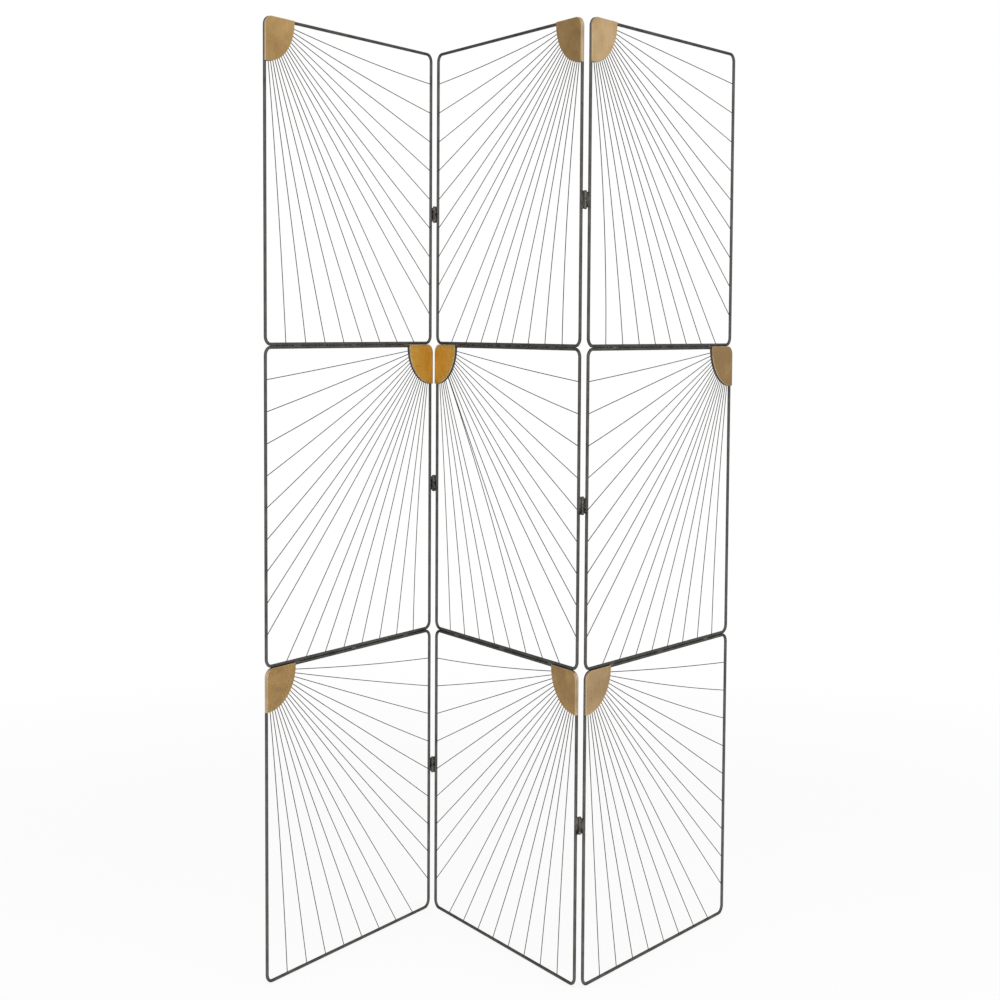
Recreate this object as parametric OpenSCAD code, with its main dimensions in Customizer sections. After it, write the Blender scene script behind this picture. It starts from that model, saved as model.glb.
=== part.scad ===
// Folding screen of three hinged columns. Each column is a stack of three rod frames,
// and each frame has a brass corner plate from which wires fan out to the far rods.
// Millimetres, +Z up. The front of the screen faces -Y, and the origin lies on the
// floor, at the middle of the ground that the standing screen covers.

/* [Frames] */
// Width of one column over its rods
column_w = 538; // [420:1:640]
// Height of one frame over its rods
frame_h = 610; // [480:1:720]
// Diameter of the frame's rod
rod_d = 6; // [5:0.5:8]
// Centreline radius of the bends at the frame's corners
bend_r = 15; // [9:0.5:30]
// Length of the weld beads between stacked frames
seam_weld_l = 14; // [6:1:40]
// Number of weld bead pairs between two stacked frames
seam_welds = 3; // [2:1:6]

/* [Corner plates] */
// Radius of the plate's curved edge about the corner where the rod centrelines would meet
plate_r = 80.5; // [60:0.5:110]
// Thickness of the brass plate
plate_t = 2.5; // [1.5:0.1:3.5]
// Width of the bevel round the plate's front face
plate_bevel = 0.5; // [0.2:0.1:0.8]
// Diameter of the curved rod behind the plate's edge
arc_d = 5; // [3.5:0.25:5]
// Setback of the curved rod's centreline from the plate's edge
arc_setback = 2; // [1:0.25:4]

/* [Wires] */
// Diameter of a wire
wire_d = 1.6; // [1:0.1:2.4]
// Number of wires that end on the far side rod
side_wires = 9; // [5:1:12]
// Number of wires that end on the bottom rod
bottom_wires = 8; // [5:1:11]
// Angle left free of wires at each end of the curved rod
wire_margin = 7.5; // [5:0.5:12]
// Diameter of the weld bead on each end of a wire
wire_bead_d = 2.6; // [2.5:0.1:3.4]

/* [Hinges] */
// Height of the hinge's barrel
hinge_h = 34; // [30:1:60]
// Diameter of the hinge's barrel
barrel_d = 6; // [5:0.25:7.5]
// Diameter of the hinge's pin
pin_d = 3; // [2:0.25:4]
// Diameter of the pin's riveted heads
pin_head_d = 4.4; // [4.1:0.1:5]
// Height of the pin's riveted heads
pin_head_h = 0.7; // [0.6:0.1:1.6]
// Number of knuckles in the barrel
knuckles = 5; // [3:2:7]
// Gap between neighbouring knuckles
knuckle_gap = 0.3; // [0.2:0.05:0.6]
// Thickness of a hinge leaf
leaf_t = 1.5; // [1:0.1:2]
// Gap from the middle of the seam to each leaf when the screen is straight
leaf_gap = 0.45; // [0.4:0.05:1.5]
// How much lower the short leaf is than the barrel, at each end
leaf_step = 2.5; // [2:0.5:5]
// Length of the weld beads that hold a leaf to its rod
leaf_weld_l = 7; // [4:0.5:10]
// Drop from the top of the top frame to the middle of its hinge
top_hinge_drop = 336; // [200:1:400]
// Drop from the top of each lower frame to the middle of its hinge
lower_hinge_drop = 296; // [200:1:400]

/* [Fits] */
// Gap at each welded, soldered or resting joint
seat_gap = 0.05; // [0.02:0.01:0.1]
// Radial clearance of the hinge pin in the knuckles
pin_clearance = 0.05; // [0.02:0.01:0.1]
// Clearance round a knuckle in the notch of the opposite leaf
notch_clearance = 0.4; // [0.3:0.1:0.8]
// Gap between two facing plates when the screen is folded up
fold_gap = 0.9; // [0.8:0.1:5]
// Diameter of the round weld beads
weld_d = 1.8; // [1.6:0.1:2.2]

/* [Standing pose] */
// Turn of the left column from the line of the screen, in degrees
left_turn = 57; // [35:1:70]
// Turn of the centre column the other way, in degrees
centre_turn = 58; // [35:1:70]
// Turn of the right column from the line of the screen, in degrees
right_turn = 53; // [35:1:70]

/* [Hidden] */
$fn = 48;
arc_fn = 192;
fine_fn = 24;

COLUMNS = ["left", "centre", "right"];
ROWS = ["bottom", "middle", "top"];
SEAMS = ["left_seam", "right_seam"];
UNIT_PIECES = ["frame", "arc", "plate", "wires"];
HINGE_PIECES = ["long_leaf", "short_leaf", "pin"];
function named(places, pieces) = [
    for (place = places) for (row = ROWS) for (piece = pieces) str(place, "_", row, "_", piece)
];

CENTRE = 1;
TOP_ROW = 2;

rod_r = rod_d / 2;
span = column_w - rod_d;
rise = frame_h - rod_d;
stack_pitch = frame_h + seat_gap;

// Corner plate: its back rests on the rods, and the curved rod lies just under it
plate_back = rod_r + seat_gap;
plate_front = plate_back + plate_t;
arc_r = plate_r - arc_setback;
arc_lift = rod_r - arc_d / 2;

wires = side_wires + bottom_wires;
wire_step = (90 - 2 * wire_margin) / (wires - 1);
side_pitch = rise / (side_wires + 1);
bottom_pitch = span / (bottom_wires + 1);

// Hinge axis, seen from the rod that carries the leaf
hinge_side = rod_r + seat_gap + leaf_t + leaf_gap;
hinge_front = plate_front + fold_gap / 2;
leaf_reach = hinge_front + rod_r;
knuckle_pitch = hinge_h / knuckles;
weld_inset = 0.75 * rod_r;

// Plan of the standing screen, worked out from the left seam's axis
turns = [left_turn, -centre_turn, right_turn];
left_side = [-hinge_side, span + hinge_side];
front_axis = -hinge_front;
back_axis = hinge_front;
function turned(p, angle) = [p[0] * cos(angle) - p[1] * sin(angle), p[0] * sin(angle) + p[1] * cos(angle)];
left_home = -turned([left_side[1], front_axis], turns[0]);
centre_home = -turned([left_side[0], front_axis], turns[1]);
right_seam_at = centre_home + turned([left_side[1], back_axis], turns[1]);
right_home = right_seam_at - turned([left_side[0], back_axis], turns[2]);
homes = [left_home, centre_home, right_home];

// Outermost points in plan as [x, y, radius] in a column: rods, plates and leaves
leaf_out = hinge_side - leaf_gap;
reach_points = [
    [0, 0, rod_r],
    [span, 0, rod_r],
    [-rod_r, plate_bevel - plate_front, 0],
    [plate_bevel - rod_r, -plate_front, 0],
    [span + rod_r, plate_bevel - plate_front, 0],
    [span + rod_r - plate_bevel, -plate_front, 0]
];
function leaf_points(column) = [
    if (column < 2) [span + leaf_out, column == CENTRE ? -rod_r : rod_r, 0],
    if (column > 0) [-leaf_out, column == CENTRE ? rod_r : -rod_r, 0]
];
plan_points = [
    for (column = [0:2]) for (p = concat(reach_points, leaf_points(column)))
        concat(homes[column] + turned(p, turns[column]), p[2])
];
low = [for (axis = [0, 1]) min([for (p = plan_points) p[axis] - p[2]])];
high = [for (axis = [0, 1]) max([for (p = plan_points) p[axis] + p[2]])];
middle = (low + high) / 2;

function row_base(row) = row * stack_pitch;
function hinge_z(row) = row_base(row) + frame_h - (row == TOP_ROW ? top_hinge_drop : lower_hinge_drop);
function plate_on_left(column, row) = (column + row) % 2 == 0;

// Puts a column's own frame in the standing screen: its left rod at x = 0, its front to -Y
module in_column(column) {
    translate(concat(homes[column] - middle, 0))
        rotate([0, 0, turns[column]])
            children();
}

// Puts a piece in its row, turned over so that its plate corner is at the left or right
module in_unit(column, row) {
    in_column(column)
        translate([plate_on_left(column, row) ? 0 : span, 0, row_base(row)])
            mirror([plate_on_left(column, row) ? 0 : 1, 0, 0])
                children();
}

module upright(x, d) {
    translate([x, 0, rod_r])
        cylinder(d = d, h = rise);
}

module crossbar(z, d) {
    translate([0, 0, z])
        rotate([0, 90, 0])
            cylinder(d = d, h = span);
}

// A quarter turn of rod in the XZ plane, from straight below its centre round to +X
module quarter_ring(radius, d, ring_fn) {
    rotate([90, 0, 0])
        rotate([0, 0, -90])
            rotate_extrude(angle = 90, $fn = ring_fn)
                translate([radius, 0])
                    circle(d = d, $fn = 48);
}

// Rod loop with rounded corners
module rod_loop() {
    for (x = [0, span])
        translate([x, 0, rod_r + bend_r])
            cylinder(d = rod_d, h = rise - 2 * bend_r);
    for (z = [rod_r, rod_r + rise])
        translate([bend_r, 0, z])
            rotate([0, 90, 0])
                cylinder(d = rod_d, h = span - 2 * bend_r);
    for (at_right = [0, 1]) for (at_top = [0, 1])
        translate([at_right ? span - bend_r : bend_r, 0, rod_r + (at_top ? rise - bend_r : bend_r)])
            mirror([1 - at_right, 0, 0])
                mirror([0, 0, at_top])
                    quarter_ring(bend_r, rod_d, $fn);
}

// Beads in the grooves between a frame's bottom rod and the frame under it
module stack_welds() {
    pitch = span / seam_welds;
    difference() {
        for (i = [0:seam_welds - 1]) for (side = [-1, 1])
            translate([(i + 0.5) * pitch - seam_weld_l / 2, side * rod_r * 0.63, -seat_gap / 2])
                rotate([0, 90, 0])
                    cylinder(d = weld_d, h = seam_weld_l);
        crossbar(-rod_r - seat_gap, rod_d + 2 * seat_gap);
    }
}

module frame(column, row) {
    color([0.2, 0.19, 0.18])
        in_unit(column, row)
            union() {
                rod_loop();
                if (row > 0) stack_welds();
            }
}

// Curved rod behind the plate's edge, coped to the upright and the top rod
module arc(column, row) {
    color([0.2, 0.19, 0.18])
        in_unit(column, row)
            difference() {
                translate([0, -arc_lift, rod_r + rise])
                    quarter_ring(arc_r, arc_d, arc_fn);
                upright(0, rod_d + 2 * seat_gap);
                crossbar(rod_r + rise, rod_d + 2 * seat_gap);
            }
}

// Quarter disc with a rounded outer corner, its straight sides flush with the frame's
module plate_outline(inset) {
    rotate([0, 0, -90])
        intersection() {
            circle(r = plate_r - inset, $fn = arc_fn);
            union() {
                translate([bend_r, inset - rod_r])
                    square([plate_r, plate_r + rod_r]);
                translate([inset - rod_r, bend_r])
                    square([plate_r + rod_r, plate_r]);
                translate([bend_r, bend_r])
                    circle(r = bend_r + rod_r - inset);
            }
        }
}

module plate(column, row) {
    color([0.71, 0.57, 0.36])
        in_unit(column, row)
            translate([0, -plate_back, rod_r + rise])
                rotate([90, 0, 0])
                    union() {
                        linear_extrude(height = plate_t - plate_bevel)
                            plate_outline(0);
                        translate([0, 0, plate_t - plate_bevel])
                            linear_extrude(height = plate_bevel)
                                plate_outline(plate_bevel);
                    }
}

function wire_angle(i) = wire_margin + i * wire_step;
function wire_start(i) = [arc_r * cos(wire_angle(i)), rod_r + rise - arc_r * sin(wire_angle(i))];
function wire_end(i) = i < side_wires
    ? [span, rod_r + rise - (i + 1) * side_pitch]
    : [span - (i + 1 - side_wires) * bottom_pitch, rod_r];

// One straight wire from the curved rod to a far rod, with a weld bead at each end
module wire(i) {
    run = wire_end(i) - wire_start(i);
    length = norm(run);
    slope = atan2(run[0], run[1]);
    rod_cover = rod_r * length / (i < side_wires ? run[0] : -run[1]);
    translate([wire_start(i)[0], 0, wire_start(i)[1]])
        rotate([0, slope, 0]) {
            cylinder(d = wire_d, h = length, $fn = fine_fn);
            for (at = [arc_d / 2, length - rod_cover])
                translate([0, 0, at])
                    sphere(d = wire_bead_d, $fn = fine_fn);
        }
}

// Space that the curved rod takes up where a wire meets it
module wire_cope(i) {
    translate([wire_start(i)[0], -arc_lift, wire_start(i)[1]])
        rotate([0, wire_angle(i), 0])
            cylinder(d = arc_d + 2 * seat_gap, h = 2 * wire_bead_d, center = true);
}

module wires(column, row) {
    color([0.25, 0.24, 0.23])
        in_unit(column, row)
            difference() {
                for (i = [0:wires - 1])
                    wire(i);
                for (i = [0:wires - 1])
                    wire_cope(i);
                upright(span, rod_d + 2 * seat_gap);
                crossbar(rod_r, rod_d + 2 * seat_gap);
            }
}

// Knuckle heights: even ones belong to the long leaf, odd ones to the short leaf
module knuckle_row(first, d, grow) {
    for (i = [first:2:knuckles - 1])
        translate([0, 0, (i + 0.5) * knuckle_pitch - hinge_h / 2])
            cylinder(d = d, h = knuckle_pitch - knuckle_gap + 2 * grow, center = true);
}

// Hinge leaf about its axis, with its rod at [hinge_side, hinge_front]
module leaf(is_long) {
    leaf_h = is_long ? hinge_h : hinge_h - 2 * leaf_step;
    own_first = is_long ? 0 : 1;
    difference() {
        union() {
            translate([leaf_gap, 0, -leaf_h / 2])
                cube([leaf_t, leaf_reach, leaf_h]);
            knuckle_row(own_first, barrel_d, 0);
            for (end = [-1, 1]) for (side = [-1, 1])
                translate([leaf_gap + leaf_t + weld_d / 3, hinge_front + side * weld_inset,
                           end * (leaf_h - leaf_weld_l) / 2 - leaf_weld_l / 2])
                    cylinder(d = weld_d, h = leaf_weld_l, $fn = fine_fn);
        }
        knuckle_row(1 - own_first, barrel_d + 2 * notch_clearance, knuckle_gap);
        cylinder(d = pin_d + 2 * pin_clearance, h = hinge_h + 1, center = true);
        translate([hinge_side, hinge_front, -hinge_h / 2 - 1])
            cylinder(d = rod_d + 2 * seat_gap, h = hinge_h + 2);
    }
}

// Puts a hinge's own frame on its seam, towards the centre column or the outer one
module in_hinge(seam, row, on_centre) {
    column = on_centre ? CENTRE : 2 * seam;
    at_right = on_centre == (seam == 1);
    in_column(column)
        translate([left_side[at_right ? 1 : 0], seam == 0 ? front_axis : back_axis, hinge_z(row)])
            mirror([at_right ? 1 : 0, 0, 0])
                mirror([0, seam, 0])
                    children();
}

module long_leaf(seam, row) {
    color([0.16, 0.15, 0.15])
        in_hinge(seam, row, true)
            leaf(true);
}

module short_leaf(seam, row) {
    color([0.18, 0.17, 0.16])
        in_hinge(seam, row, false)
            leaf(false);
}

// Domed head of the pin, resting on z = 0
module pin_head() {
    dome_r = (pow(pin_head_d / 2, 2) + pow(pin_head_h, 2)) / (2 * pin_head_h);
    rotate_extrude()
        intersection() {
            translate([0, pin_head_h - dome_r])
                circle(r = dome_r, $fn = 96);
            square([pin_head_d / 2, pin_head_h]);
        }
}

module pin(seam, row) {
    shank_h = hinge_h + 2 * seat_gap;
    color([0.3, 0.29, 0.28])
        in_hinge(seam, row, true)
            union() {
                cylinder(d = pin_d, h = shank_h, center = true);
                for (end = [0, 1])
                    mirror([0, 0, end])
                        translate([0, 0, shank_h / 2])
                            pin_head();
            }
}

for (column = [0:2]) for (row = [0:2]) {
    unit = str(COLUMNS[column], "_", ROWS[row]);
    frame(column, row);
    arc(column, row);
    plate(column, row);
    wires(column, row);
}
for (seam = [0:1]) for (row = [0:2]) {
    hinge = str(SEAMS[seam], "_", ROWS[row]);
    long_leaf(seam, row);
    short_leaf(seam, row);
    pin(seam, row);
}
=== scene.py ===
"""Dresses a folding screen of rod frames, brass corner plates and fanned wires.

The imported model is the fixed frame. Rods and wires are remade by Geometry Nodes as smooth
round stock with weld beads, the brass plates get soft edges, and the curved rods and the
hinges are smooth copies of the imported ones. Every piece rides on the column that carries it.
All sizes are in metres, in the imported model's own frame: +Z up, front towards -Y.
"""

import logging
import math
import random
from dataclasses import dataclass
from enum import Enum

import bmesh
import bpy
from mathutils import Matrix, Vector


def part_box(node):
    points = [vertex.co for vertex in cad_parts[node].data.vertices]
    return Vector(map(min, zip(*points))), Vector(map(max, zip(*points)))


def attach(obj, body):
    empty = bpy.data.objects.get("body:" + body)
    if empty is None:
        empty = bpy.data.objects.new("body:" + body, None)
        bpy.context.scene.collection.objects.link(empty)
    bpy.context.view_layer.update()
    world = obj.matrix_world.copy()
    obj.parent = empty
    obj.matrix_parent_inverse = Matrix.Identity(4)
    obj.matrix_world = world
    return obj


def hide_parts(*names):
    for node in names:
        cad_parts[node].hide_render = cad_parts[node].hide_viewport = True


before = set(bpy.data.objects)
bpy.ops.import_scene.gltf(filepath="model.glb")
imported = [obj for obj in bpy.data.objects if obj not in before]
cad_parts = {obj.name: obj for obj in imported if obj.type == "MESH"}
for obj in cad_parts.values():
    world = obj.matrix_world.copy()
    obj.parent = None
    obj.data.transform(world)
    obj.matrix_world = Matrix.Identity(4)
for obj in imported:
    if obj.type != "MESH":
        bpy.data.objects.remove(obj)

MM = 0.001
WHITE = (1, 1, 1, 1)
# Seeds each plate's brass tone: a random pick, with the seed chosen so each plate's brightness
# fits how it is lit, so partly painted reflection and shade.
PLATE_TONE_SEED = 1490997
FIRST_SEED, SEED_PER_COLUMN, SEED_PER_ROW = 17, 7, 31
DROP_UP_SEED, DROP_SIZE_SEED, WIRE_TONE_SEED, BEAD_SIZE_SEED = 1, 2, 4, 5
MERGE_DISTANCE = 0.001 * MM
CUT_DISTANCE = 0.001 * MM
COPY_CREASE = math.radians(35)
log = logging.getLogger("screen")

Pair = tuple[float, float]
Triple = tuple[float, float, float]
Socket = bpy.types.NodeSocket


class Column(Enum):
    """A hinged column of the screen. The value is the body that carries it."""

    LEFT = "left"
    CENTRE = "centre"
    RIGHT = "right"

    @property
    def place(self) -> int:
        """Its place, counted from the left."""
        return list(Column).index(self)


class Row(Enum):
    """A row of frames, counted up from the floor."""

    BOTTOM = 0
    MIDDLE = 1
    TOP = 2


class PlateBrass(Enum):
    """Which brass a plate gets. WARM is the plain brass; the others are copies of it with a
    painted reflection:
    golden where the two middle plates at the left seam face each other, pale on the right column.
    """

    WARM = "warm"
    GOLDEN = "golden"
    PALE = "pale"


class Seam(Enum):
    """A hinged seam. The value is the outer column that swings on it."""

    LEFT = "left"
    RIGHT = "right"


# ------------------------------------------------------------------ node trees


@dataclass(frozen=True)
class Value:
    """A number that a node tree works out, with the usual arithmetic."""

    graph: "NodeGraph"
    socket: Socket

    def __add__(self, other: "Term") -> "Value":
        """Returns the sum."""
        return self.graph.math("ADD", self, other)

    def __sub__(self, other: "Term") -> "Value":
        """Returns the difference."""
        return self.graph.math("SUBTRACT", self, other)

    def __rsub__(self, other: float) -> "Value":
        """Returns the difference from a plain number."""
        return self.graph.math("SUBTRACT", other, self)

    def __mul__(self, other: "Term") -> "Value":
        """Returns the product."""
        return self.graph.math("MULTIPLY", self, other)

    def __truediv__(self, other: "Term") -> "Value":
        """Returns the quotient."""
        return self.graph.math("DIVIDE", self, other)


Term = Value | float
Feed = Value | Socket | float | int | bool | tuple
Feeds = dict[str | int, Feed] | None


class NodeGraph:
    """A node tree under construction."""

    def __init__(self, tree: bpy.types.NodeTree) -> None:
        """Starts on a tree.

        Args:
            tree: The shader or Geometry Nodes tree to fill.
        """
        self.tree = tree

    def node(self, kind: str, feeds: Feeds = None, **settings: object) -> bpy.types.Node:
        """Adds a node.

        Args:
            kind: The node's Blender type name.
            feeds: What each input gets, by its name or place.
            **settings: Values for the node's own properties.

        Returns:
            The new node.
        """
        made = self.tree.nodes.new(kind)
        for name, value in settings.items():
            setattr(made, name, value)
        for key, feed in (feeds or {}).items():
            self.feed(made.inputs[key], feed)
        return made

    def out(
        self, kind: str, feeds: Feeds = None, output: int | str = 0, **settings: object
    ) -> Socket:
        """Adds a node and returns one of its outputs, found by its name or place."""
        return self.node(kind, feeds, **settings).outputs[output]

    def value(
        self, kind: str, feeds: Feeds = None, output: int | str = 0, **settings: object
    ) -> Value:
        """Adds a node and returns one of its outputs as a number."""
        return Value(self, self.out(kind, feeds, output, **settings))

    def feed(self, socket: Socket, feed: Feed) -> None:
        """Links a socket to another, or sets its own value.

        Args:
            socket: The input to fill.
            feed: An output to link, or a plain value.
        """
        source = feed.socket if isinstance(feed, Value) else feed
        if isinstance(source, Socket):
            self.tree.links.new(source, socket)
        else:
            socket.default_value = source

    def math(self, operation: str, *terms: Term) -> Value:
        """Adds one step of arithmetic, named as the Math node names it."""
        return self.value("ShaderNodeMath", dict(enumerate(terms)), operation=operation)

    def remap(self, value: Feed, before: Pair, after: Pair, **settings: object) -> Value:
        """Turns one range of numbers into another, held at its ends.

        Args:
            value: The number to turn.
            before: The range it comes in.
            after: The range it leaves in.
            **settings: Values for the node's own properties.

        Returns:
            The number.
        """
        feeds = {"Value": value, "From Min": before[0], "From Max": before[1]}
        feeds |= {"To Min": after[0], "To Max": after[1]}
        return self.value("ShaderNodeMapRange", feeds, **settings)


class GeometryGraph(NodeGraph):
    """A Geometry Nodes tree with named inputs, which makes one plain mesh object."""

    def __init__(self, name: str) -> None:
        """Makes an empty tree.

        Args:
            name: The tree's name.
        """
        super().__init__(bpy.data.node_groups.new(name, "GeometryNodeTree"))
        self.tree.interface.new_socket(
            "Geometry", in_out="OUTPUT", socket_type="NodeSocketGeometry"
        )
        self.entry = self.node("NodeGroupInput")
        self.given: dict[str, object] = {}

    def number(self, name: str, value: float) -> Value:
        """Adds a named number input, or finds it again."""
        return self._input(name, "NodeSocketFloat", value)

    def count(self, name: str, value: int) -> Value:
        """Adds a named whole number input, or finds it again."""
        return self._input(name, "NodeSocketInt", value)

    def material(self, name: str, value: bpy.types.Material) -> Value:
        """Adds a named material input, or finds it again."""
        return self._input(name, "NodeSocketMaterial", value)

    def _input(self, name: str, kind: str, value: object) -> Value:
        """Adds an input, or finds it again, and remembers what it gets by its identifier.

        Args:
            name: The input's name.
            kind: Its socket's type.
            value: What this use of the tree gives it.

        Returns:
            The input's value in the tree.
        """
        if name not in self.entry.outputs:
            item = self.tree.interface.new_socket(name, in_out="INPUT", socket_type=kind)
            self.given[item.identifier] = value
        return Value(self, self.entry.outputs[name])

    def vector(self, x: Term, y: Term, z: Term) -> Socket:
        """Returns a vector socket put together from three numbers."""
        return self.out("ShaderNodeCombineXYZ", {"X": x, "Y": y, "Z": z})

    def index(self) -> Value:
        """Returns each point's place in its own shape."""
        return self.value("GeometryNodeInputIndex")

    def moved(self, shape: Feed, at: Feed) -> Socket:
        """Returns a shape with each point moved to the place worked out for it."""
        return self.out("GeometryNodeSetPosition", {"Geometry": shape, "Position": at})

    def scatter(self, value_range: Pair, key: Term, seed: int) -> Value:
        """Gives each key its own fixed number.

        Args:
            value_range: Lowest and highest number.
            key: What the number belongs to, such as a wire's place in its fan.
            seed: The fixed seed.

        Returns:
            The number.
        """
        feeds = {"ID": key, "Seed": seed}
        made = self.node("FunctionNodeRandomValue", feeds, data_type="FLOAT")
        floats = [s for s in made.inputs if s.type == "VALUE" and s.name in ("Min", "Max")]
        floats[0].default_value, floats[1].default_value = value_range
        return Value(self, next(s for s in made.outputs if s.type == "VALUE"))

    def finished(self, shape: Feed, material: Value) -> Socket:
        """Realizes, smooths and dresses a shape.

        Args:
            shape: The geometry.
            material: What it is dressed in.

        Returns:
            The dressed geometry.
        """
        real = self.out("GeometryNodeRealizeInstances", {"Geometry": shape})
        feeds = {"Geometry": real, "Shade Smooth": True}
        shaded = self.out("GeometryNodeSetShadeSmooth", feeds)
        feeds = {"Geometry": shaded, "Material": material}
        return self.out("GeometryNodeSetMaterial", feeds)

    def swept(self, curve: Feed, diameter: Value, sides: int) -> Socket:
        """Turns a curve into round stock.

        Args:
            curve: The centreline.
            diameter: The stock's diameter.
            sides: Faces round it.

        Returns:
            The mesh, with closed ends.
        """
        feeds = {"Resolution": sides, "Radius": diameter * 0.5}
        ring = self.out("GeometryNodeCurvePrimitiveCircle", feeds)
        feeds = {"Curve": curve, "Profile Curve": ring, "Fill Caps": True}
        return self.out("GeometryNodeCurveToMesh", feeds)

    def balls(
        self, count: Feed, at: Feed, diameter: float, scale: Feed, material: Value
    ) -> Socket:
        """Sets small balls of weld metal.

        Args:
            count: How many there are.
            at: Where each one is, worked out from its index.
            diameter: Their diameter before they are scaled.
            scale: How much each one is scaled along each axis.
            material: What they are dressed in.

        Returns:
            The dressed balls.
        """
        line = self.out("GeometryNodeMeshLine", {"Count": count}, mode="OFFSET")
        feeds = {"Radius": diameter / 2, "Subdivisions": 2}
        ball = self.out("GeometryNodeMeshIcoSphere", feeds)
        feeds = {"Points": self.moved(line, at), "Instance": ball, "Scale": scale}
        return self.finished(self.out("GeometryNodeInstanceOnPoints", feeds), material)

    def mesh(
        self, name: str, shapes: list[Socket], place: "Panel", height: float
    ) -> bpy.types.Object:
        """Ends the tree and makes its result a plain mesh in a column's plane.

        Args:
            name: The new object's name.
            shapes: The geometries to join.
            place: The column's plane, which the tree's XZ plane is laid on.
            height: How far up the result goes.

        Returns:
            A mesh object at the origin, with its place in its mesh.
        """
        joined = self.node("GeometryNodeJoinGeometry")
        for shape in shapes:
            self.feed(joined.inputs[0], shape)
        end = self.node("NodeGroupOutput", {"Geometry": joined.outputs[0]})
        end.is_active_output = True
        maker = linked(name, bpy.data.meshes.new(name))
        modifier = maker.modifiers.new("make", "NODES")
        modifier.node_group = self.tree
        for identifier, value in self.given.items():
            modifier[identifier] = value
        graph = bpy.context.evaluated_depsgraph_get()
        plain = bpy.data.meshes.new_from_object(maker.evaluated_get(graph), depsgraph=graph)
        bpy.data.objects.remove(maker)
        plain.transform(Matrix.Translation((0, 0, height)) @ place.matrix())
        return linked(name, plain)


def linked(name: str, data: bpy.types.ID) -> bpy.types.Object:
    """Puts data in the scene.

    Args:
        name: The new object's name.
        data: The mesh, lamp or camera that it shows.

    Returns:
        The object, at the origin.
    """
    made = bpy.data.objects.new(name, data)
    bpy.context.scene.collection.objects.link(made)
    return made


# ------------------------------------------------------------------ finishes


@dataclass(frozen=True)
class Pattern:
    """A noise pattern: its cells in a metre, and its octaves of finer noise.

    The stretch says how many times denser it is along each axis, and the roughness how
    strong each octave is beside the one before it.
    """

    scale: float
    detail: float
    stretch: Triple = (1, 1, 1)
    roughness: float = 0.6


class SurfaceGraph(NodeGraph):
    """A material's node tree, with the patterns that the finishes share."""

    middle_range: Pair = (0.3, 0.7)
    relief: float = 0.6

    def __init__(self, name: str) -> None:
        """Makes a material with an empty tree.

        Args:
            name: The material's name.
        """
        self.made = bpy.data.materials.new(name)
        self.made.use_nodes = True
        self.made.node_tree.nodes.clear()
        super().__init__(self.made.node_tree)
        self.place = self.out("ShaderNodeTexCoord", output="Object")

    def noise(self, pattern: Pattern) -> Value:
        """Lays a noise pattern from 0 to 1 on the piece's own coordinates.

        Args:
            pattern: The pattern.

        Returns:
            Its value.
        """
        feeds = {"Vector": self.place, "Scale": pattern.stretch}
        feeds = {"Vector": self.out("ShaderNodeMapping", feeds), "Scale": pattern.scale}
        feeds |= {"Detail": pattern.detail, "Roughness": pattern.roughness}
        return self.value("ShaderNodeTexNoise", feeds)

    def ramp(
        self, value: Feed, places: tuple[float, ...], colours: tuple[Triple, ...]
    ) -> Socket:
        """Turns a value into a colour.

        Args:
            value: The number to read.
            places: Where each colour stands between 0 and 1.
            colours: The colours, in the same order.

        Returns:
            The colour.
        """
        made = self.node("ShaderNodeValToRGB", {"Fac": value})
        elements = made.color_ramp.elements
        while len(elements) < len(places):
            elements.new(0.5)
        for element, place, colour in zip(elements, places, colours):
            element.position = place
            element.color = (*colour, 1)
        return made.outputs[0]

    def between(self, value: Feed, limits: Pair) -> Value:
        """Maps a pattern's middle range to these limits."""
        return self.remap(value, self.middle_range, limits)

    def blend(self, amount: Feed, under: Feed, over: Feed) -> Socket:
        """Lays one colour over another by an amount, with the Mix node's colour sockets."""
        return self.out("ShaderNodeMix", {0: amount, 6: under, 7: over}, 2, data_type="RGBA")

    def speckle(
        self, under: Feed, over: Triple, pattern: Pattern, limits: Pair, strength: float
    ) -> Socket:
        """Lays specks of one colour over another.

        Args:
            under: The colour under the specks.
            over: The specks' own colour.
            pattern: The specks' pattern.
            limits: What its middle range becomes. There is a speck where that is above 0.
            strength: How much of the specks' colour is laid on for each 1 of that.

        Returns:
            The colour.
        """
        specks = self.between(self.noise(pattern), limits)
        amount = self.math("MAXIMUM", specks, 0.0) * strength
        return self.blend(self.math("MINIMUM", amount, 1.0), under, (*over, 1))

    def end(
        self, colour: Feed, roughness: Feed, height: Feed, depth: float, **constants: float | tuple
    ) -> bpy.types.Material:
        """Ends the tree in a Principled surface.

        Args:
            colour: The base colour.
            roughness: The roughness.
            height: The relief pattern.
            depth: How deep the relief is, in metres.
            **constants: Values for the shader's own sockets, with _ for a space.

        Returns:
            The material.
        """
        feeds = {"Height": height, "Strength": self.relief, "Distance": depth}
        bump = self.out("ShaderNodeBump", feeds)
        feeds = {"Base Color": colour, "Roughness": roughness, "Normal": bump}
        shader = self.node("ShaderNodeBsdfPrincipled", feeds)
        for name, value in constants.items():
            shader.inputs[name.replace("_", " ")].default_value = value
        self.node("ShaderNodeOutputMaterial", {"Surface": shader.outputs[0]})
        return self.made


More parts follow.
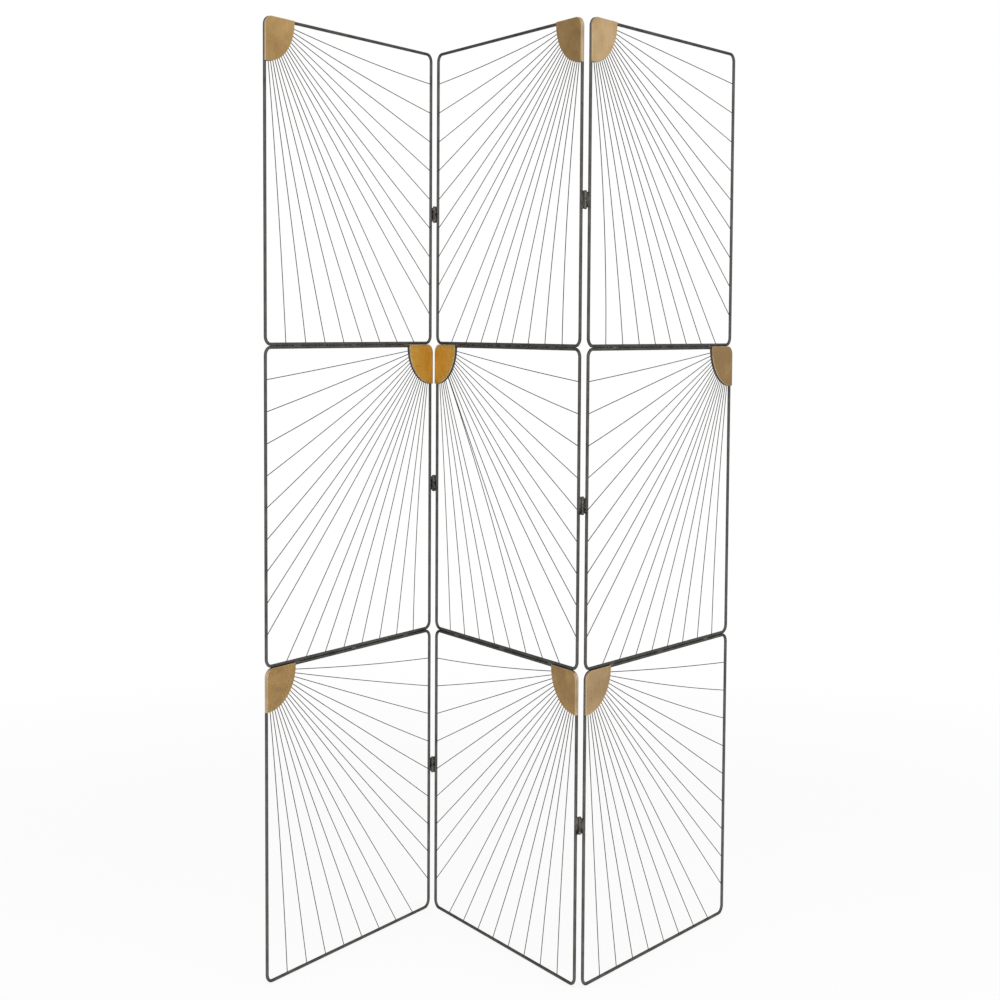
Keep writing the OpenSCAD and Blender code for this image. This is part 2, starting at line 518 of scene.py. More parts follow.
@dataclass(frozen=True)
class BlackenedSteel:
    """Dark oil-rubbed steel: brown-black, mottled, rubbed bare in small specks.

    The tone names an attribute that says how bare each part of a piece is.
    """

    name: str = "blackened_steel"
    dark: Triple = (0.090, 0.086, 0.081)
    light: Triple = (0.160, 0.152, 0.141)
    bare: Triple = (0.32, 0.295, 0.26)
    edge: Triple = (0.25, 0.25, 0.25)
    wear: float = 0.09
    roughness: Pair = (0.36, 0.44)
    metallic: float = 0.85
    tone: str = ""
    mottle: Pattern = Pattern(38, 6)
    mottle_places: Pair = (0.32, 0.70)
    specks: Pattern = Pattern(260, 8)
    speck_limits: Pair = (-1.6, 1.5)
    rubbing: Pattern = Pattern(420, 5)
    grain: Pattern = Pattern(1500, 3)
    grain_depth: float = 0.012 * MM

    def build(self) -> bpy.types.Material:
        """Returns the material."""
        graph = SurfaceGraph(self.name)
        mottle = graph.noise(self.mottle)
        tone = graph.ramp(mottle, self.mottle_places, (self.dark, self.light))
        colour = graph.speckle(tone, self.bare, self.specks, self.speck_limits, self.wear)
        if self.tone:
            own = graph.out("ShaderNodeAttribute", output="Fac", attribute_name=self.tone)
            colour = graph.blend(own, colour, (*self.bare, 1))
        roughness = graph.between(graph.noise(self.rubbing), self.roughness)
        constants = {"Metallic": self.metallic, "Specular_Tint": (*self.edge, 1)}
        grain = graph.noise(self.grain)
        return graph.end(colour, roughness, grain, self.grain_depth, **constants)


@dataclass(frozen=True)
class BrushedBrass:
    """Aged brass plate: brushed upright, mottled, darker in soft patches.

    The tone names an attribute that makes a whole piece brighter or darker; on the plates it is
    partly painted reflection and shade.
    """

    name: str
    bright: Triple = (0.76, 0.508, 0.214)
    middle: Triple = (0.61, 0.391, 0.157)
    tarnish: Triple = (0.43, 0.264, 0.108)
    roughness: Pair = (0.24, 0.36)
    tone: str = "tone"
    tone_range: float = 0.46
    tone_places: Triple = (0.30, 0.52, 0.72)
    clouds: Pattern = Pattern(26, 7)
    cloud_share: float = 0.72
    strokes: Pattern = Pattern(1, 4, (900, 900, 22))
    spots: Pattern = Pattern(310, 9)
    spot_limits: Pair = (-2.2, 1.3)
    spot_strength: float = 0.25
    scratches: Pattern = Pattern(1, 3, (2600, 2600, 70))
    scratch_depth: float = 0.03 * MM

    def build(self) -> bpy.types.Material:
        """Returns the material."""
        graph = SurfaceGraph(self.name)
        clouds, strokes = graph.noise(self.clouds), graph.noise(self.strokes)
        mix = clouds * self.cloud_share + strokes * (1 - self.cloud_share)
        if self.tone:
            own = graph.value("ShaderNodeAttribute", output="Fac", attribute_name=self.tone)
            mix = mix + (own - 0.5) * self.tone_range
        tone = graph.ramp(mix, self.tone_places, (self.tarnish, self.middle, self.bright))
        patchy = (self.spots, self.spot_limits, self.spot_strength)
        colour = graph.speckle(tone, self.tarnish, *patchy)
        roughness = graph.between(clouds * 0.5 + strokes * 0.5, self.roughness)
        height = strokes * 0.5 + graph.noise(self.scratches) * 0.5
        return graph.end(colour, roughness, height, self.scratch_depth, Metallic=1.0)


@dataclass(frozen=True)
class WeldMetal:
    """Weld metal: grey, scaled and rough, with a warm tint of heat."""

    name: str = "weld_metal"
    scale: Triple = (0.08, 0.074, 0.068)
    heat: Triple = (0.34, 0.30, 0.25)
    heating: Pattern = Pattern(330, 4)
    heat_places: Pair = (0.35, 0.65)
    crust: Pattern = Pattern(900, 6)
    crust_depth: float = 0.12 * MM
    roughness: Pair = (0.45, 0.7)
    metallic: float = 0.7

    def build(self) -> bpy.types.Material:
        """Returns the material."""
        graph = SurfaceGraph(self.name)
        crust, heating = graph.noise(self.crust), graph.noise(self.heating)
        colour = graph.ramp(heating, self.heat_places, (self.scale, self.heat))
        roughness = graph.between(crust, self.roughness)
        return graph.end(colour, roughness, crust, self.crust_depth, Metallic=self.metallic)


# A darker copy of the rod steel for the curved rods behind the plates: painted shade.
SHADED_ARC_STEEL = BlackenedSteel(
    "shaded_arc_steel", (0.068, 0.065, 0.061), (0.122, 0.116, 0.108), (0.25, 0.23, 0.20)
)
# Hinge steel: its many bright bare specks are partly wear and partly painted highlights on the
# knuckles.
HINGE_STEEL_WEAR_AND_HIGHLIGHTS = BlackenedSteel(
    "hinge_steel_wear_and_highlights", (0.083, 0.078, 0.072), (0.186, 0.173, 0.160), (0.50, 0.47, 0.42), wear=0.34
)
PIN_STEEL = BlackenedSteel("pin_steel", (0.112, 0.105, 0.098), (0.21, 0.195, 0.18), wear=0.4)
WIRE_STEEL = BlackenedSteel(
    "wire_steel", (0.034, 0.032, 0.029), (0.064, 0.059, 0.054), wear=0.2, tone="tone"
)
BRASSES = {
    PlateBrass.WARM: BrushedBrass("warm_brass"),
    # Copies of the brass with painted reflection: golden where brass faces brass, pale on the
    # right.
    PlateBrass.GOLDEN: BrushedBrass(
        "golden_brass", (0.94, 0.735, 0.305), (0.875, 0.625, 0.235), (0.765, 0.482, 0.176)
    ),
    PlateBrass.PALE: BrushedBrass(
        "pale_brass", (0.79, 0.555, 0.292), (0.615, 0.418, 0.208), (0.445, 0.290, 0.143)
    ),
}
# Paler brass for the plates' rounded rims and the rod lips beside them: a painted highlight along
# the edges.
EDGE_HIGHLIGHT_BRASS = BrushedBrass(
    "brass_painted_edge_highlight", (0.79, 0.63, 0.41), (0.67, 0.51, 0.315), (0.50, 0.36, 0.21), tone=""
)


# ------------------------------------------------------------------ layout


@dataclass(frozen=True)
class Panel:
    """The plane through the rod centres of one column.

    Its own X runs along the column from the left rod's centre, its own Y to the back.
    """

    column: Column
    start: Vector
    turn: float
    span: float
    frame_h: float

    @classmethod
    def of(cls, column: Column, rod_d: float) -> "Panel":
        """Reads a column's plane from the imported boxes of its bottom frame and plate.

        Args:
            column: The column.
            rod_d: The frame rod's diameter.

        Returns:
            The plane.
        """
        low, high = (Vector(corner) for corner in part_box(f"{column.value}_bottom_frame"))
        plate = sum((Vector(c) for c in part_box(f"{column.value}_bottom_plate")), Vector()) / 2
        offset = plate - (low + high) / 2
        inset = rod_d / 2
        # The plate is well to one side, so the way to it shows how the column slopes.
        rises = offset.x * offset.y > 0
        near, far = (low.y + inset, high.y - inset) if rises else (high.y - inset, low.y + inset)
        run = Vector((high.x - low.x - rod_d, far - near))
        start = Vector((low.x + inset, near, 0))
        return cls(column, start, math.atan2(run.y, run.x), run.length, high.z - low.z)

    def matrix(self) -> Matrix:
        """Returns the move from the panel's own plane to the model's frame."""
        return Matrix.Translation(self.start) @ Matrix.Rotation(self.turn, 4, "Z")


@dataclass(frozen=True)
class Unit:
    """One rod frame of the screen, with its plate in a top corner."""

    panel: Panel
    row: Row

    @property
    def name(self) -> str:
        """The start of this unit's node names."""
        return f"{self.panel.column.value}_{self.row.name.lower()}"

    @property
    def base(self) -> float:
        """Height of the underside of the bottom rod."""
        return Vector(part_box(f"{self.name}_frame")[1]).z - self.panel.frame_h

    @property
    def spot(self) -> tuple[Column, Row]:
        """The unit's column and row."""
        return self.panel.column, self.row

    @property
    def seed(self) -> int:
        """A fixed seed of this unit's own."""
        across = SEED_PER_COLUMN * self.panel.column.place
        return FIRST_SEED + across + SEED_PER_ROW * self.row.value

    @property
    def plate_on_left(self) -> bool:
        """Whether the plate, and so the fan, starts at the left rod."""
        return (self.panel.column.place + self.row.value) % 2 == 0

    def across(self, x: Term) -> Term:
        """Turns a distance from the plate's rod into a place along the panel, and back."""
        return x if self.plate_on_left else self.panel.span - x


def adopt(piece: bpy.types.Object, body: str, slot: str, *nodes: str) -> None:
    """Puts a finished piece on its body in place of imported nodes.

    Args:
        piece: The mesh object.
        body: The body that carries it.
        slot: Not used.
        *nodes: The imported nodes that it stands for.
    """
    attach(piece, body)
    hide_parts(*nodes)
    log.info("%s: %d faces on %s", piece.name, len(piece.data.polygons), body)


def smooth_copy(node: str, name: str, material: bpy.types.Material) -> bpy.types.Object:
    """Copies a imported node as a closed, smooth-shaded mesh.

    Args:
        node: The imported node.
        name: The copy's name.
        material: What it is dressed in.

    Returns:
        The copy.
    """
    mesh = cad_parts[node].data.copy()
    shape = bmesh.new()
    shape.from_mesh(mesh)
    bmesh.ops.remove_doubles(shape, verts=shape.verts, dist=MERGE_DISTANCE)
    shape.to_mesh(mesh)
    shape.free()
    mesh.materials.clear()
    mesh.materials.append(material)
    mesh.shade_smooth()
    mesh.set_sharp_from_angle(angle=COPY_CREASE)
    return linked(name, mesh)


# ------------------------------------------------------------------ pieces


@dataclass
class RodFrame:
    """A loop of round rod with rounded corners, welded to the frame under it.

    Beside the corner plate, the plate's brass is carried round the rod's outer side, in the paler
    rim brass with a painted highlight. The lip's start and end are turns about the rod, in degrees
    from its front.
    """

    unit: Unit
    steel: bpy.types.Material
    weld: bpy.types.Material
    lip: bpy.types.Material
    lip_start: float = -25.0
    lip_end: float = 55.0
    plate_r: float = 80.5 * MM
    rod_d: float = 6 * MM
    bend_r: float = 15 * MM
    bend_steps: int = 14
    sides: int = 28
    weld_l: float = 14 * MM
    weld_count: int = 3
    weld_drops: int = 9
    weld_d: float = 1.9 * MM
    groove_share: float = 0.315
    drop_across: Pair = (-0.1 * MM, 0.1 * MM)
    drop_up: Pair = (-0.12 * MM, 0.12 * MM)
    drop_sizes: Pair = (0.85, 1.1)
    drop_stretch: float = 1.15

    def build(self) -> bpy.types.Object:
        """Returns the dressed loop, with its weld beads where it stands on another frame."""
        panel = self.unit.panel
        graph = GeometryGraph("rod frame")
        rod_d = graph.number("Rod diameter", self.rod_d)
        span = graph.number("Span", panel.span)
        rise = graph.number("Rise", panel.frame_h - self.rod_d)
        steel = graph.material("Steel", self.steel)
        feeds = {"Width": span, "Height": rise}
        loop = graph.out("GeometryNodeCurvePrimitiveQuadrilateral", feeds)
        bend = graph.number("Bend radius", self.bend_r)
        feeds = {"Curve": loop, "Radius": bend, "Count": self.bend_steps}
        bent = graph.out("GeometryNodeFilletCurve", feeds, mode="POLY")
        rod = graph.swept(bent, rod_d, self.sides)
        centre = graph.vector(span * 0.5, 0.0, (rise + rod_d) * 0.5)
        feeds = {"Geometry": rod, "Translation": centre, "Rotation": (math.pi / 2, 0, 0)}
        shapes = [graph.finished(graph.out("GeometryNodeTransform", feeds), steel)]
        if self.unit.row is not Row.BOTTOM:
            shapes.append(self._welds(graph, span, rod_d))
        made = graph.mesh(f"{self.unit.name}_rods", shapes, panel, self.unit.base)
        self._brass_lip(made.data)
        adopt(made, panel.column.value, "rod", f"{self.unit.name}_frame")
        return made

    def _brass_lip(self, mesh: bpy.types.Mesh) -> None:
        """Carries the plate's brass round the outer side of the rod, as far as the plate reaches,
        in the paler rim brass with a painted highlight.

        Args:
            mesh: The finished rods, whose first material is the steel.
        """
        panel = self.unit.panel
        place, top = panel.matrix(), self.unit.base + panel.frame_h - self.rod_d / 2
        mesh.materials.append(self.lip)
        lip, steel = len(mesh.materials) - 1, list(mesh.materials).index(self.steel)
        shape = bmesh.new()
        shape.from_mesh(mesh)
        side_end = place @ Vector((self.unit.across(self.plate_r), 0, 0))
        ends = (
            (side_end, place.to_3x3() @ Vector((1, 0, 0))),
            (Vector((0, 0, top - self.plate_r)), Vector((0, 0, 1))),
        )
        for point, normal in ends:
            rods = [f for f in shape.faces if f.material_index == steel]
            edges = {e for f in rods for e in f.edges}
            verts = {v for f in rods for v in f.verts}
            plane = {"plane_co": point, "plane_no": normal, "dist": CUT_DISTANCE}
            bmesh.ops.bisect_plane(shape, geom=[*rods, *edges, *verts], **plane)
        inward = place.inverted()
        for face in shape.faces:
            at = inward @ face.calc_center_median()
            across, down = self.unit.across(at.x), top - at.z
            if face.material_index == steel and max(across, down) < self.plate_r:
                turn = math.degrees(math.atan2(self._outward(across, down), -at.y))
                if self.lip_start < turn < self.lip_end:
                    face.material_index = lip
        shape.to_mesh(mesh)
        shape.free()

    def _outward(self, across: float, down: float) -> float:
        """Measures how far outside the rod's centreline a place near the plate's corner is.

        Args:
            across: Distance from the upright's centreline.
            down: Distance under the top rod's centreline.

        Returns:
            The distance, negative towards the middle of the frame.
        """
        if across < self.bend_r and down < self.bend_r:
            return math.hypot(self.bend_r - across, self.bend_r - down) - self.bend_r
        return -min(across, down)

    def _welds(self, graph: GeometryGraph, span: Value, rod_d: Value) -> Socket:
        """Lays rows of weld drops in the grooves above the frame below.

        Args:
            graph: The frame's tree.
            span: Distance between the upright rods' centres.
            rod_d: The rod's diameter.

        Returns:
            The dressed drops.
        """
        seed, index = self.unit.seed, graph.index()
        drops = graph.count("Weld drops", self.weld_drops)
        bead = graph.math("FLOOR", index / drops)
        step = (index - bead * drops) / (drops - 1.0) - 0.5
        place = graph.math("FLOOR", bead * 0.5)
        side = graph.math("MODULO", bead, 2.0) * 2.0 - 1.0
        x = (place + 0.5) * (span / float(self.weld_count)) + step * self.weld_l
        y = side * (rod_d * self.groove_share) + graph.scatter(self.drop_across, index, seed)
        at = graph.vector(x, y, graph.scatter(self.drop_up, index, seed + DROP_UP_SEED))
        size = graph.scatter(self.drop_sizes, index, seed + DROP_SIZE_SEED)
        scale = graph.vector(size * self.drop_stretch, size, size)
        total = drops * float(2 * self.weld_count)
        return graph.balls(total, at, self.weld_d, scale, graph.material("Weld", self.weld))


@dataclass
class WireFan:
    """Thin wires from the curved rod to the far upright and the bottom rod.

    The wires are a little bowed: those to the bottom rod lean away from the near upright,
    those to the far upright sag, and each differs by a fixed random amount. A strayed wire
    starts close to its neighbour, runs beside it and then parts from it, in front of the rest.
    Without one, its number is -1.
    """

    unit: Unit
    wire: bpy.types.Material
    weld: bpy.types.Material
    rod_d: float = 6 * MM
    arc_r: float = 78.5 * MM
    arc_d: float = 5 * MM
    side_wires: int = 9
    bottom_wires: int = 8
    margin: float = 7.5
    wire_d: float = 1.6 * MM
    wire_tones: Pair = (0.0, 0.25)
    bead_d: float = 2.6 * MM
    bead_sizes: Pair = (0.8, 1.1)
    bead_squash: float = 0.9
    bite: float = 0.6 * MM
    lean: float = 5.5 * MM
    lean_shares: Pair = (0.2, 1.9)
    sag: float = 2.2 * MM
    scatter: float = 3.0 * MM
    strayed: int = -1
    stray: float = 16.5 * MM
    stray_step: float = 0.75
    steps: int = 22
    sides: int = 10

    def build(self) -> bpy.types.Object:
        """Returns the dressed fan, with a weld bead at each end of each wire."""
        panel, seed = self.unit.panel, self.unit.seed
        graph = GeometryGraph("wire fan")
        count = self.side_wires + self.bottom_wires
        line = graph.out("GeometryNodeCurvePrimitiveLine")
        fine = graph.out("GeometryNodeResampleCurve", {"Curve": line, "Count": self.steps})
        feeds = {"Geometry": fine, "Amount": graph.count("Wires", count)}
        many = graph.node("GeometryNodeDuplicateElements", feeds, domain="SPLINE")
        number = Value(graph, many.outputs["Duplicate Index"])
        along = graph.value("GeometryNodeSplineParameter", output="Factor")
        curves = graph.moved(many.outputs[0], self._point(graph, number, along, seed))
        tone = graph.scatter(self.wire_tones, number, seed + WIRE_TONE_SEED)
        feeds = {"Geometry": curves, "Name": "tone", "Value": tone}
        toned = graph.out("GeometryNodeStoreNamedAttribute", feeds, data_type="FLOAT")
        wires = graph.swept(toned, graph.number("Wire diameter", self.wire_d), self.sides)
        dressed = graph.finished(wires, graph.material("Wire", self.wire))
        shapes = [dressed, self._beads(graph, count, seed)]
        made = graph.mesh(f"{self.unit.name}_wire_fan", shapes, panel, self.unit.base)
        adopt(made, panel.column.value, "wire", f"{self.unit.name}_wires")
        return made

    def _point(self, graph: GeometryGraph, number: Value, along: Value, seed: int) -> Socket:
        """Works out a point of a wire.

        Args:
            graph: The fan's tree.
            number: The wire's place in the fan, from the top.
            along: Share of its length, from the curved rod.
            seed: The unit's fixed seed.

        Returns:
            The point in the panel's plane.
        """
        panel = self.unit.panel
        rod_r = self.rod_d / 2
        rise = panel.frame_h - self.rod_d
        gaps = self.side_wires + self.bottom_wires - 1
        step = (90 - 2 * self.margin) / gaps
        # This is 1 for the strayed wire and 0 for the others.
        strayed = graph.math("COMPARE", number, graph.count("Strayed wire", self.strayed), 0.5)
        angle = ((number - strayed * self.stray_step) * step + self.margin) * math.radians(1)
        start_r = self.arc_r + self.arc_d / 2 - self.bite
        x0 = graph.math("COSINE", angle) * start_r
        z0 = rod_r + rise - graph.math("SINE", angle) * start_r
        to_bottom = graph.math("GREATER_THAN", number, self.side_wires - 0.5)
        to_side = 1.0 - to_bottom
        reach = rod_r - self.bite
        foot = (number - (self.side_wires - 1.0)) * (panel.span / (self.bottom_wires + 1))
        drop = (number + 1.0) * (rise / (self.side_wires + 1))
        x1 = to_side * (panel.span - reach) + to_bottom * (panel.span - foot)
        z1 = to_side * (rod_r + rise - drop) + to_bottom * (rod_r + reach)
        share = number * (1 / gaps)
        lean_share = random.Random(seed).uniform(*self.lean_shares)
        lean = graph.number("Lean", self.lean * lean_share)
        bias = to_bottom * (share * share * share * lean) - to_side * self.sag
        own = graph.scatter((-self.scatter, self.scatter), number - strayed, seed)
        # This rises from 0 at both ends of the wire to 1 halfway.
        bulge = along * (1.0 - along) * 4.0
        arch = bulge * (bias + own + strayed * self.stray)
        x = x0 + (x1 - x0) * along + to_bottom * arch
        z = z0 + (z1 - z0) * along + to_side * arch
        return graph.vector(self.unit.across(x), strayed * bulge * -self.wire_d, z)

    def _beads(self, graph: GeometryGraph, count: int, seed: int) -> Socket:
        """Sets a weld bead on both ends of each wire.

        Args:
            graph: The fan's tree.
            count: Number of wires.
            seed: The unit's fixed seed.

        Returns:
            The dressed beads.
        """
        index = graph.index()
        far_end = graph.math("GREATER_THAN", index, count - 0.5)
        at = self._point(graph, index - far_end * float(count), far_end, seed)
        size = graph.scatter(self.bead_sizes, index, seed + BEAD_SIZE_SEED)
        scale = graph.vector(size, size * self.bead_squash, size)
        weld = graph.material("Weld", self.weld)
        return graph.balls(2 * count, at, self.bead_d, scale, weld)


@dataclass
class CornerPlate:
    """A brass quarter disc on the front of the rods, its edges softly rounded and dressed in paler
    brass with a painted highlight.
    """

    unit: Unit
    brass: bpy.types.Material
    edge_highlight: bpy.types.Material
    rod_d: float = 6 * MM
    bend_r: float = 15 * MM
    radius: float = 80.5 * MM
    edge_r: float = 0.86 * MM
    edge_steps: int = 3
    edge_crease: float = 40.0
    arc_steps: int = 72
    corner_steps: int = 14
    tone: float = 0.5

    def outline(self) -> list[Pair]:
        """Returns the outline about the rods' corner: across from the upright, and up."""
        lip = self.rod_d / 2
        end, reach = math.asin(lip / self.radius), self.bend_r + lip
        points = []
        for i in range(self.arc_steps + 1):
            angle = end - (math.pi / 2 + 2 * end) * i / self.arc_steps
            points.append((self.radius * math.cos(angle), self.radius * math.sin(angle)))
        for i in range(self.corner_steps + 1):
            angle = math.pi - (math.pi / 2) * i / self.corner_steps
            x, z = reach * math.cos(angle), reach * math.sin(angle)
            points.append((self.bend_r + x, z - self.bend_r))
        return points

    def build(self) -> bpy.types.Object:
        """Returns the dressed plate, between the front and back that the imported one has."""
        panel, name = self.unit.panel, self.unit.name
        front, back = self._faces()
        top = self.unit.base + panel.frame_h - self.rod_d / 2
        flat, rim = 0, 1
        shape = bmesh.new()
        rim_points = [(self.unit.across(x), back, top + z) for x, z in self.outline()]
        sheet = shape.faces.new([shape.verts.new(point) for point in rim_points])
        grown = bmesh.ops.extrude_face_region(shape, geom=[sheet])
        moved = [v for v in grown["geom"] if isinstance(v, bmesh.types.BMVert)]
        bmesh.ops.translate(shape, verts=moved, vec=(0, front - back, 0))
        bmesh.ops.recalc_face_normals(shape, faces=shape.faces)
        for face in shape.faces:
            face.material_index = rim if abs(face.normal.y) < 0.5 else flat
        mesh = bpy.data.meshes.new(f"{name}_brass")
        shape.to_mesh(mesh)
        shape.free()
        mesh.transform(panel.matrix())
        mesh.materials.append(self.brass)
        # The rim gets the paler brass, a painted highlight.
        mesh.materials.append(self.edge_highlight)
        own = mesh.attributes.new("tone", "FLOAT", "POINT")
        own.data.foreach_set("value", [self.tone] * len(mesh.vertices))
        mesh.shade_smooth()
        made = linked(f"{name}_brass", mesh)
        edge = made.modifiers.new("soft edge", "BEVEL")
        edge.width, edge.segments, edge.material = self.edge_r, self.edge_steps, rim
        edge.limit_method, edge.angle_limit = "ANGLE", math.radians(self.edge_crease)
        edge.harden_normals = True
        adopt(made, panel.column.value, "plate", f"{name}_plate")
        return made

    def _faces(self) -> Pair:
        """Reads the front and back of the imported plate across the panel."""
        inward = self.unit.panel.matrix().inverted()
        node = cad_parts[f"{self.unit.name}_plate"]
        depths = [(inward @ v.co).y for v in node.data.vertices]
        return min(depths), max(depths)


@dataclass
class CurvedRod:
    """The quarter ring of rod behind a plate's round edge, in darker steel with painted shade."""

    unit: Unit
    steel: bpy.types.Material

    def build(self) -> bpy.types.Object:
        """Returns the dressed ring."""
        made = smooth_copy(f"{self.unit.name}_arc", f"{self.unit.name}_curved_rod", self.steel)
        adopt(made, self.unit.panel.column.value, "rod", f"{self.unit.name}_arc")
        return made


@dataclass
class Hinge:
    """A welded butt hinge: two knuckled leaves on a riveted pin."""

    seam: Seam
    row: Row
    leaf: bpy.types.Material
    pin: bpy.types.Material

    def build(self) -> list[bpy.types.Object]:
        """Returns the dressed leaves and pin."""
        start = f"{self.seam.value}_seam_{self.row.name.lower()}"
        centre, outer = Column.CENTRE.value, self.seam.value
        made = []
        for piece, body, slot, material in (
            ("long_leaf", centre, "hinge", self.leaf),
            ("short_leaf", outer, "hinge", self.leaf),
            ("pin", centre, "pin", self.pin),
        ):
            copy = smooth_copy(f"{start}_{piece}", f"{start}_smooth_{piece}", material)
            adopt(copy, body, slot, f"{start}_{piece}")
            made.append(copy)
        return made


# ------------------------------------------------------------------ studio


@dataclass(frozen=True)
class Softbox:
    """A soft rectangular lamp that faces the middle of the screen.

    Polished metal mirrors the surroundings alone, so a lamp never adds its
    own light to their white there and brass keeps its written colour.
    """

    name: str
    place: Triple
    size: Pair
    brightness: float
    aim: Triple = (0, 0, 1.1)

    def build(self) -> None:
        """Hangs the lamp. Its power follows from its brightness and its area."""
        light = bpy.data.lights.new(self.name, "AREA")
        light.shape = "RECTANGLE"
        light.size, light.size_y = self.size
        light.energy = self.brightness * math.pi * self.size[0] * self.size[1]
        lamp = linked(self.name, light)
        lamp.location = self.place
        sight = Vector(self.aim) - Vector(self.place)
        lamp.rotation_euler = sight.to_track_quat("-Z", "Y").to_euler()
        lamp.visible_glossy = False


@dataclass
class Studio:
    """A white floor in white surroundings, with soft lamps and the camera.

    The lamps hang in front, at both sides and above. The side levels are how bright metal
    sees the surroundings on the left and on the right. The side and front places are the
    directions between which that passes from left to right, and turns white in front.
    """

    floor_size: float = 60.0
    floor_colour: Triple = (0.95, 0.95, 0.95)
    shadow_share: float = 0.15
    shadow_reach: Pair = (0.8, 3.2)
    eye: Triple = (-0.0236, -3.4391, 1.2575)
    pitch: float = 3.73
    roll: float = 0.335
    lens: float = 61.97
    sensor: float = 36.0
    shift_y: float = -0.0607
    ambient: float = 0.45
    side_levels: Pair = (0.47, 0.75)
    side_places: Pair = (-0.9, 0.8)
    front_places: Pair = (-0.1, -0.5)
    lamps: tuple[Softbox, ...] = (
        Softbox("left_softbox", (-2.45, -1.4, 1.2), (2.6, 2.0), 1.4),
        Softbox("right_softbox", (2.3, -1.35, 1.2), (2.6, 2.0), 1.4),
        Softbox("left_strip", (-0.95, -2.45, 1.2), (0.8, 1.6), 1.4),
        Softbox("right_strip", (0.75, -2.45, 1.2), (0.8, 1.6), 1.4),
        Softbox("top_softbox", (0.3, -0.6, 4.2), (2.4, 2.4), 3.0),
    )

    def build(self) -> None:
        """Makes the floor, the world, the lamps and the camera."""
        self._floor()
        self._world()
        for lamp in self.lamps:
            lamp.build()
        self._camera()

    def _floor(self) -> None:
        """Lays a white floor. Near the screen a small share of its shading is seen."""
        half = self.floor_size / 2
        square = [(-half, -half, 0), (half, -half, 0), (half, half, 0), (-half, half, 0)]
        mesh = bpy.data.meshes.new("floor")
        mesh.from_pydata(square, [], [(0, 1, 2, 3)])
        graph = SurfaceGraph("white_floor")
        paint = graph.out("ShaderNodeBsdfDiffuse", {"Color": (*self.floor_colour, 1)})
        white = graph.out("ShaderNodeEmission", {"Color": WHITE, "Strength": 1.0})
        seen = graph.value("ShaderNodeLightPath", output="Is Camera Ray")
        away = graph.out("ShaderNodeVectorMath", {0: graph.place}, "Value", operation="LENGTH")
        shares = (1 - self.shadow_share, 1.0)
        share = graph.remap(away, self.shadow_reach, shares, interpolation_type="SMOOTHSTEP")
        mixed = graph.out("ShaderNodeMixShader", {"Fac": seen * share, 1: paint, 2: white})
        graph.node("ShaderNodeOutputMaterial", {"Surface": mixed})
        mesh.materials.append(graph.made)
        floor = linked("floor", mesh)

    def _world(self) -> None:
        """Makes the surroundings white where seen, and a soft light elsewhere.

        Metal reflects them white in front, and greyer to the sides and the back.
        """
        world = bpy.data.worlds.new("studio")
        bpy.context.scene.world = world
        world.use_nodes = True
        world.node_tree.nodes.clear()
        graph = NodeGraph(world.node_tree)
        rays = graph.node("ShaderNodeLightPath").outputs
        kinds = ("Camera", "Transmission", "Glossy")
        seen, through, mirrored = (Value(graph, rays[f"Is {kind} Ray"]) for kind in kinds)
        sky = graph.out("ShaderNodeTexCoord", output="Generated")
        way = graph.node("ShaderNodeSeparateXYZ", {0: sky}).outputs
        side = graph.remap(way["X"], self.side_places, self.side_levels)
        front = graph.remap(way["Y"], self.front_places, (0.0, 1.0))
        level = graph.math("MULTIPLY_ADD", 1.0 - side, front, side)
        shown = graph.math("MAXIMUM", seen + through + mirrored * level, self.ambient)
        strength = graph.math("MINIMUM", shown, 1.0)
        background = graph.out("ShaderNodeBackground", {"Color": WHITE, "Strength": strength})
        graph.node("ShaderNodeOutputWorld", {"Surface": background})

    def _camera(self) -> None:
        """Sets the camera in front of the screen, tipped a little down."""
        data = bpy.data.cameras.new("camera")
        data.lens, data.sensor_width, data.shift_y = self.lens, self.sensor, self.shift_y
        tilt = Matrix.Rotation(math.radians(90 - self.pitch), 4, "X")
        roll = Matrix.Rotation(math.radians(self.roll), 4, "Z")
        camera = linked("camera", data)
        camera.matrix_world = Matrix.Translation(self.eye) @ (tilt @ roll)
        bpy.context.scene.camera = camera


# ------------------------------------------------------------------ the screen


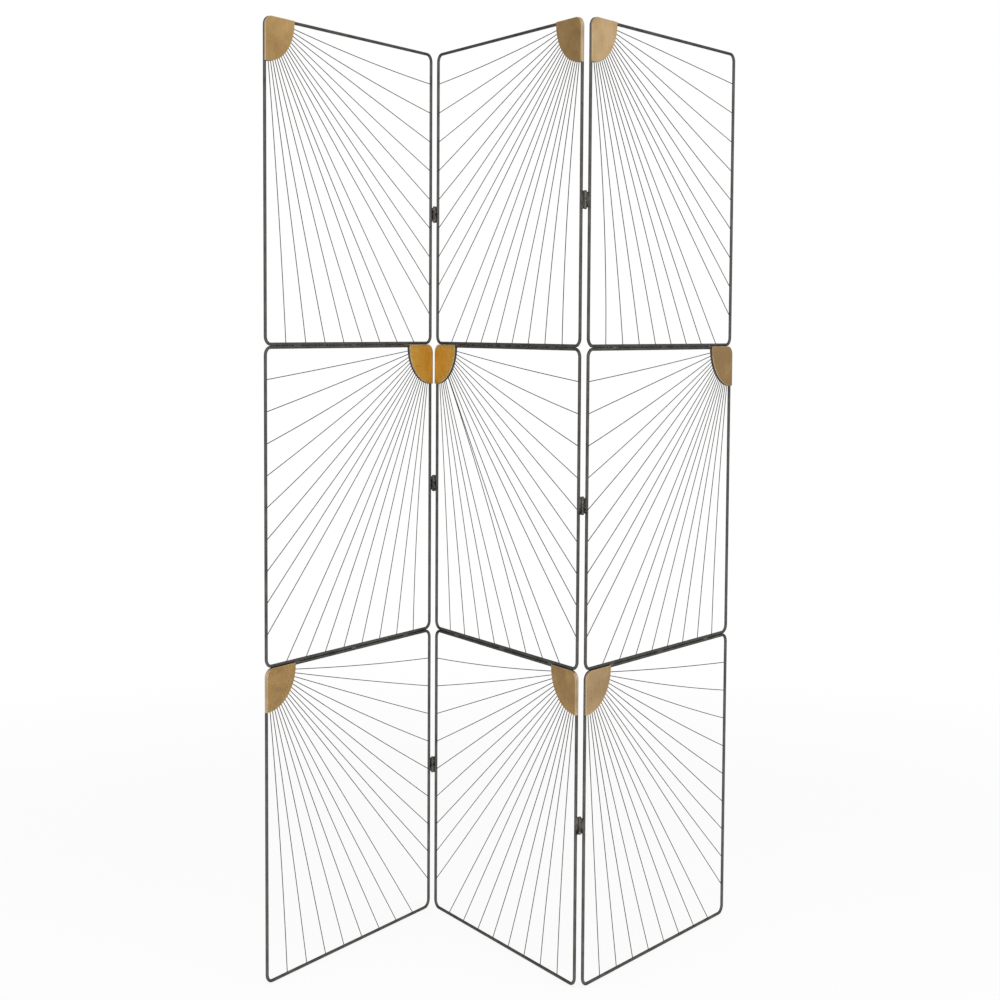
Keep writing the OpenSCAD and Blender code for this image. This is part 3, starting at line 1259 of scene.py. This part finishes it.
# Plates whose brass has a painted reflection; the rest get the plain warm brass.
PAINTED_REFLECTIONS = {
    (Column.LEFT, Row.MIDDLE): PlateBrass.GOLDEN,
    (Column.CENTRE, Row.MIDDLE): PlateBrass.GOLDEN,
    (Column.RIGHT, Row.BOTTOM): PlateBrass.PALE,
    (Column.RIGHT, Row.TOP): PlateBrass.PALE,
}
# On these units the lip's paler brass, a painted highlight, reaches further round the rod.
LIP_ENDS = {
    (Column.LEFT, Row.BOTTOM): 150.0,
    (Column.CENTRE, Row.BOTTOM): 150.0,
    (Column.CENTRE, Row.TOP): 150.0,
}
STRAYED_WIRES = {(Column.CENTRE, Row.MIDDLE): 11}


def main() -> None:
    """Builds the screen's pieces in order, then the studio."""
    logging.basicConfig(level=logging.INFO, format="%(message)s")
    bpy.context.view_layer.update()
    bpy.context.scene.view_settings.view_transform = "Standard"
    steel = BlackenedSteel().build()
    shaded_arc_steel = SHADED_ARC_STEEL.build()
    hinge_steel_wear_and_highlights = HINGE_STEEL_WEAR_AND_HIGHLIGHTS.build()
    pin_steel = PIN_STEEL.build()
    wire_steel = WIRE_STEEL.build()
    weld = WeldMetal().build()
    brasses = {brass_kind: BRASSES[brass_kind].build() for brass_kind in PlateBrass}
    edge_highlight = EDGE_HIGHLIGHT_BRASS.build()
    # Each plate's tone, partly random and partly painted reflection and shade.
    plate_tones = random.Random(PLATE_TONE_SEED)
    for column in Column:
        panel = Panel.of(column, RodFrame.rod_d)
        log.info("%s: turn %.2f, span %.4f", column.value, math.degrees(panel.turn), panel.span)
        for row in Row:
            unit = Unit(panel, row)
            brass = brasses[PAINTED_REFLECTIONS.get(unit.spot, PlateBrass.WARM)]
            lip_end = LIP_ENDS.get(unit.spot, RodFrame.lip_end)
            strayed = STRAYED_WIRES.get(unit.spot, WireFan.strayed)
            RodFrame(unit, steel, weld, edge_highlight, lip_end=lip_end).build()
            CurvedRod(unit, shaded_arc_steel).build()
            WireFan(unit, wire_steel, weld, strayed=strayed).build()
            CornerPlate(unit, brass, edge_highlight, tone=plate_tones.random()).build()
    for seam in Seam:
        for row in Row:
            Hinge(seam, row, hinge_steel_wear_and_highlights, pin_steel).build()
    Studio().build()


if __name__ == "__main__":
    main()
